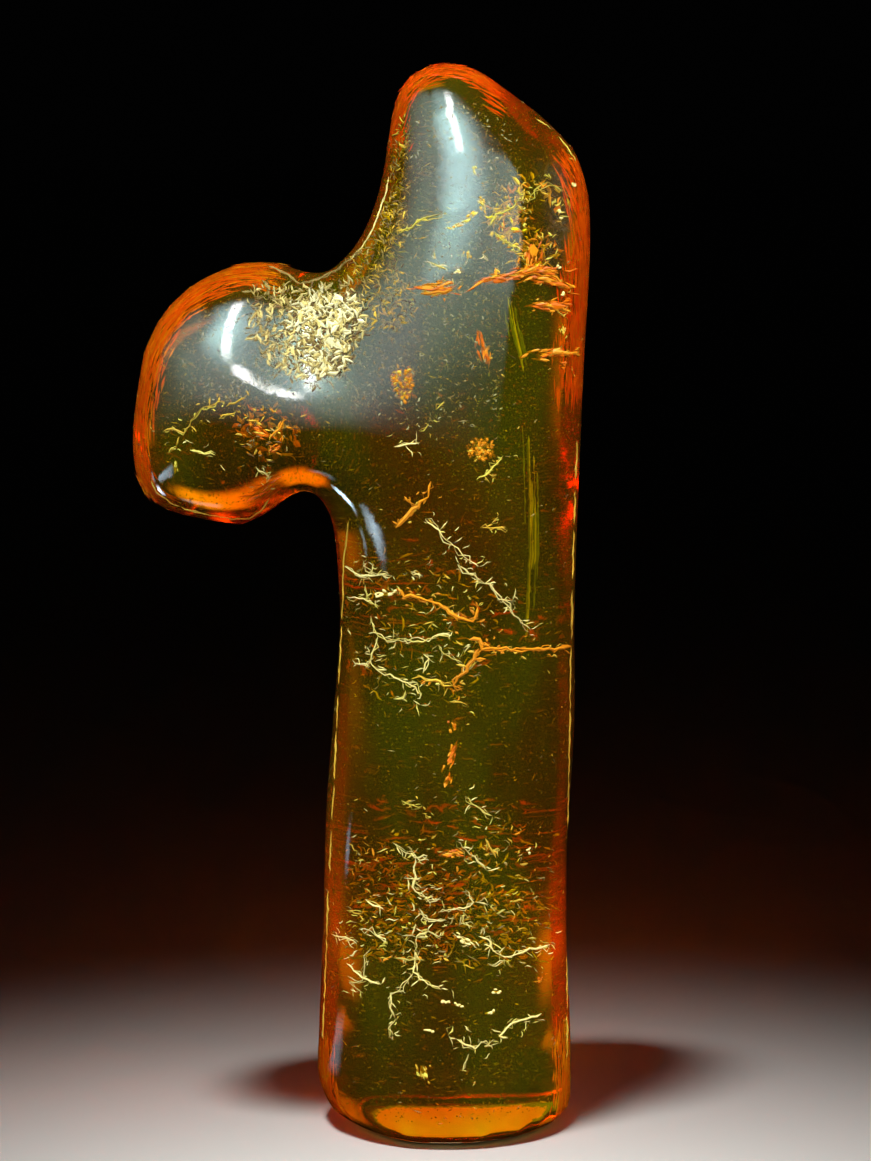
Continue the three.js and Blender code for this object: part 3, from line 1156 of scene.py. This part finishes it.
def painted_rim_glow(body):
    """Thin orange scales just under the skin of the edges: a painted rim glow in place of light refracted
    there.
    """
    chance = random.Random(RIM_GLOW_SEED)
    shards = Shards()
    boxes = [(metres(low), metres(high), facing, tints) for low, high, facing, tints in PAINTED_RIM_GLOW]
    for point, normal in skin_places(body, RIM_GLOW_TRIES, chance):
        for low, high, facing, tints in boxes:
            edge_on = abs(normal.y) < facing * chance.uniform(*RIM_GLOW_FADE)
            if edge_on and all(a < p < b for a, p, b in zip(low, point, high)):
                painted_rim_scale(shards, point, normal, tints, chance)
                break
    return shards.piece("painted_rim_glow", sealed_flecks("painted_rim_scales", roughness=0.4))


def painted_rim_scale(shards, point, normal, tints, chance):
    """One scale of the painted rim glow, which lies nearly along the outline that the front shows."""
    rim = Vector((0, 1, 0)).cross(normal).normalized()
    along = Matrix.Rotation(chance.gauss(0, RIM_GLOW_TURN), 3, normal) @ rim
    centre = point - normal * chance.uniform(*RIM_GLOW_DEPTHS) * MM
    half_length = chance.uniform(*RIM_GLOW_LENGTHS) * MM
    half_width = chance.uniform(*RIM_GLOW_WIDTHS) * MM
    tint = shaded(chance.choice(tints), chance, RIM_GLOW_SHADE)
    shards.flake(centre, along * half_length, along.cross(normal) * half_width, RIM_GLOW_THICKNESS,
                 tint, chance, sides=4)


# Camera, floor and light


def set_camera(sight):
    camera = bpy.data.cameras.new("camera")
    camera.lens = LENS
    camera.sensor_width = SENSOR
    camera.clip_start = NEAREST_SEEN
    holder = bpy.data.objects.new("camera", camera)
    holder.location = sight.eye
    holder.rotation_euler = sight.forward.to_track_quat("-Z", "Y").to_euler()
    bpy.context.scene.collection.objects.link(holder)
    bpy.context.scene.camera = holder


def set_floor():
    deselect()
    bpy.ops.mesh.primitive_plane_add(size=FLOOR_SIZE, location=(0, 0, FLOOR_HEIGHT))
    floor = bpy.context.object
    floor.name = "floor"
    floor.data.materials.append(pale_floor())
    floor.visible_glossy = False
    floor.visible_transmission = False
    return floor


def lit_only(name, thing, state):
    """A collection that says which things a lamp lights."""
    group = bpy.data.collections.new(name)
    group.objects.link(thing)
    group.collection_objects[0].light_linking.link_state = state
    return group


def lamp(name, kind, place, aim, colour, group, seen, spin=0.0, **settings):
    """A lamp at a place, turned to its aim, both in millimetres, and spun in degrees. No camera sees it."""
    data = bpy.data.lights.new(name, kind)
    data.color = colour
    for key, value in settings.items():
        setattr(data, key, value)
    holder = bpy.data.objects.new(name, data)
    holder.location = metres(place)
    turn = (metres(aim) - metres(place)).to_track_quat("-Z", "Y")
    holder.rotation_euler = (turn @ Quaternion((0, 0, 1), math.radians(spin))).to_euler()
    holder.visible_camera = False
    for key, value in seen.items():
        setattr(holder, key, value)
    holder.light_linking.receiver_collection = group
    bpy.context.scene.collection.objects.link(holder)
    return data


def round_the(aim, azimuth, elevation, distance):
    """A place that far from the aim. Azimuth 0 is towards the camera, and positive is to its right."""
    turn, rise = math.radians(azimuth), math.radians(elevation)
    out = Vector((math.sin(turn) * math.cos(rise), -math.cos(turn) * math.cos(rise), math.sin(rise)))
    return Vector(aim) + out * distance


def panel(name, place, aim, width, height, radiance, group, fade, colour=WHITE,
          shape="RECTANGLE", spin=0.0, beam=180, **seen):
    """A flat lamp of the given size in millimetres and the given brightness, which fades at its edges.
    A beam under 180 degrees is that of a lamp with a grid, which shines only ahead."""
    half = math.radians(beam) / 2
    ahead = 1.0 if beam == 180 else math.sin(half) ** 2 - (half - math.sin(2 * half) / 2) / math.tan(half)
    power = radiance * ahead * math.pi * width * height * MM * MM
    data = lamp(name, "AREA", place, aim, colour, group, seen, spin, spread=2 * half,
                shape=shape, size=width * MM, size_y=height * MM, energy=power)
    feather(data, *fade)


def upright(name, azimuth, distance, width, heights, radiance, group, fade, colour=WHITE, **more):
    """A panel that stands upright and faces the amber, over the given stretch of heights in millimetres."""
    middle = Vector((0, 0, sum(heights) / 2))
    panel(name, round_the(middle, azimuth, 0, distance), middle, width, heights[1] - heights[0],
          radiance, group, fade, colour, **more)


def low_panel(name, across, deep, radiance, group, fade, colour=WHITE, height=0.4, **more):
    """A panel that lies level, facing up, over the given stretches of X and Y in millimetres."""
    x, y = sum(across) / 2, sum(deep) / 2
    panel(name, (x, y, height), (x, y + 0.1, height + 40), across[1] - across[0], deep[1] - deep[0],
          radiance, group, fade, colour, **more)


def feather(data, left, right, low, high):
    """Fades a flat lamp at its edges, over shares of its width and height."""
    finish = Finish(data)
    spot = finish.node("ShaderNodeNewGeometry", out="Parametric")
    across = finish.node("ShaderNodeSeparateXYZ", None, {"Vector": spot})
    up = across.other("Y")
    strength = 1.0
    for share, distance in ((left, across), (right, 1 - across), (low, up), (high, 1 - up)):
        if share:
            strength = finish.spread(distance, 0.0, share) * strength
    glow = finish.node("ShaderNodeEmission", None, {"Strength": strength})
    finish.node("ShaderNodeOutputLight", None, {"Surface": glow}, out=None)


def set_room():
    world = bpy.data.worlds.new("dim_room")
    world.use_nodes = True
    world.node_tree.nodes["Background"].inputs["Color"].default_value = opaque(DIM_ROOM)
    bpy.context.scene.world = world


def key_lamps(amber):
    """The key light, its two glints on the branch, the pale glow round it and its fill."""
    panel("key_strip", round_the(HEAD, -10, 55, 240), HEAD, 45, 120, 24.0, amber, SOFT)
    panel("key_shin", round_the(LOBE, -8, 37, 40), LOBE, 9, 16, 28.0, amber, SOFT, beam=22, **MIRROR_ONLY)
    panel("key_foot", round_the(LOBE, 2, 26, 40), LOBE, 11, 4.6, 30.0, amber, SOFT, beam=22, **MIRROR_ONLY)
    panel("key_glow", round_the(HEAD, -14, 46, 240), HEAD, 240, 240, 15.0, amber, SOFTEST, ICE)
    panel("front_fill", round_the(HEAD, -5, 48, 240), HEAD, 300, 180, 5.0, amber, SOFT, **UNMIRRORED)


def window_lamps(amber):
    """Two broad windows that veil the polish, and low glints in the notch and on the branch."""
    front_fade, left_fade = (0, 0.06, 0.4, 0.3), (0.8, 0, 0.4, 0.3)
    upright("front_window", 5, 240, 362, (-10, 400), 3.4, amber, front_fade, PALE_GREEN, **MIRROR_ONLY)
    upright("left_window", -69, 240, 362, (-10, 400), 3.4, amber, left_fade, PALE_GREEN, **MIRROR_ONLY)
    panel("table_edge", (-35.4, 9.7, 0.5), NOTCH, 30, 5.5, 34.0, amber, SOFT, SKY,
          spin=45, beam=26, **MIRROR_ONLY)
    panel("table_fan", (-58, -12, 0.5), NOTCH, 44, 12, 12.0, amber, SOFT, SKY,
          spin=19, beam=26, **MIRROR_ONLY)
    low_panel("table_far", (-88, -58), (5, 12), 2.5, amber, SOFT, SKY, **MIRROR_ONLY)
    low_panel("table_near", (-28, -12), (-2, 4), 1.5, amber, SOFT, SKY, **MIRROR_ONLY)


def side_lamps(amber):
    """Fills from both sides, and dim panels all round and overhead that glow orange through the amber."""
    panel("right_fill", round_the(HEAD, 80, 22, 220), HEAD, 160, 160, 16.0, amber, SOFT, **UNMIRRORED)
    panel("left_fill", round_the(HEAD, -82, 26, 220), HEAD, 160, 120, 8.0, amber, SOFT, **UNMIRRORED)
    upright("right_wall", 114, 170, 230, (14, 52), 0.4, amber, (0.3, 0.3, 0.2, 0.3), **UNMIRRORED)
    upright("left_wall", -112, 45, 66, (26, 75), 1.6, amber, (0.4, 0.4, 0.3, 0.4), **UNMIRRORED)
    panel("high_back", (20, 150, 145), HEAD, 150, 90, 1.4, amber, SOFT, **UNMIRRORED)
    upright("front_glow", 0, 220, 320, (0, 170), 0.6, amber, GLOW_FADE, **UNMIRRORED)
    upright("left_glow", -88, 200, 220, (0, 130), 0.12, amber, GLOW_FADE, **UNMIRRORED)
    upright("right_glow", 88, 200, 220, (0, 130), 0.12, amber, GLOW_FADE, **UNMIRRORED)
    panel("overhead", (0, 0, 200), (0, 0.1, 40), 260, 200, 1.2, amber, SOFT, **UNMIRRORED)


def low_lamps(amber):
    """Level panels round the foot, which colour the edges of the column."""
    low_panel("low_front", (-30, 30), (-36, -8), 0.25, amber, (0.2, 0.2, 0.2, 0), **UNMIRRORED)
    low_panel("low_ahead", (-28, 28), (-170, -30), 0.35, amber, (0.4, 0.4, 0.4, 0.3), **UNMIRRORED)
    low_panel("low_left", (-150, -13), (-38, 34), 0.5, amber, (0.4, 0.03, 0.5, 0.5), **UNMIRRORED)
    low_panel("low_right", (13, 150), (-32, 34), 0.4, amber, (0.03, 0.4, 0.5, 0.5), **UNMIRRORED)
    low_panel("low_far_right", (30, 150), (14, 70), 0.12, amber, SOFT, **UNMIRRORED)
    low_panel("edge_glow_left", (-20, -8.5), (-20, -3), 0.4, amber, SOFT, **UNMIRRORED)
    low_panel("edge_glow_right", (9.5, 19), (-20, -4), 0.15, amber, SOFT, **UNMIRRORED)
    low_panel("edge_strip_left", (-40, -26), (-82, -2), 0.2, amber, SOFT, spin=33, **UNMIRRORED)
    low_panel("edge_strip_right", (26, 40), (-82, -2), 0.15, amber, SOFT, spin=-33, **UNMIRRORED)


def foot_lamps(amber):
    """Small panels behind the corners of the foot, one that colours the tip, and one at the ground flat."""
    corner_fade = (0.4, 0.4, 0, 0.4)
    low_panel("corner_left", (-8, -3), (5.6, 10.5), 0.5, amber, corner_fade, **UNMIRRORED)
    low_panel("corner_right", (3.5, 9), (5.6, 13), 0.5, amber, corner_fade, **UNMIRRORED)
    upright("corner_back_right", 147, 17, 10, (0.2, 4), 0.5, amber, SOFT, **UNMIRRORED)
    upright("corner_back_left", -139, 15, 9, (0.2, 6), 0.5, amber, SOFT, **UNMIRRORED)
    panel("under_tip_right", (25, 35, 12.5), (25, 44, 30.4), 40, 56, 0.4, amber, FIRM, **UNMIRRORED)
    low_panel("base_glow", (-5.4, 4.8), (-4.7, 4.6), 0.44, amber, HARD, PALE_LIME,
              height=0.3, shape="ELLIPSE", **UNMIRRORED)


def set_light(floor):
    set_room()
    amber = lit_only("lit_on_amber", floor, "EXCLUDE")
    pool = lit_only("lit_on_floor", floor, "INCLUDE")
    key_lamps(amber)
    window_lamps(amber)
    side_lamps(amber)
    low_lamps(amber)
    foot_lamps(amber)
    lamp("floor_pool", "SPOT", (-40, -60, 280), (0, -30, 0), WHITE, pool, {},
         energy=6.0, spot_size=math.radians(16), spot_blend=1.0, shadow_soft_size=25 * MM)


# The amber, what is sealed in it, and its setting


scene = bpy.context.scene
scene.view_settings.view_transform = "Standard"
scene.cycles.max_bounces = 16
scene.cycles.transmission_bounces = 14

body = amber_body()
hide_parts("amber")
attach(body, "root")

# The surface that lines of sight meet
SKIN = BVHTree.FromObject(body, bpy.context.evaluated_depsgraph_get())

front = Sight()
back = Sight(behind=True)
cracks_and_edge_highlights(front, back)
crust_and_neck_highlight(front, back)
flakes_glints_and_streak(front)
sealed_dust(body)
sealed_haze(body)
# Painted rim glow: orange scales along the edges in place of the light refracted there
painted_rim_glow(body)

set_camera(front)
set_light(set_floor())
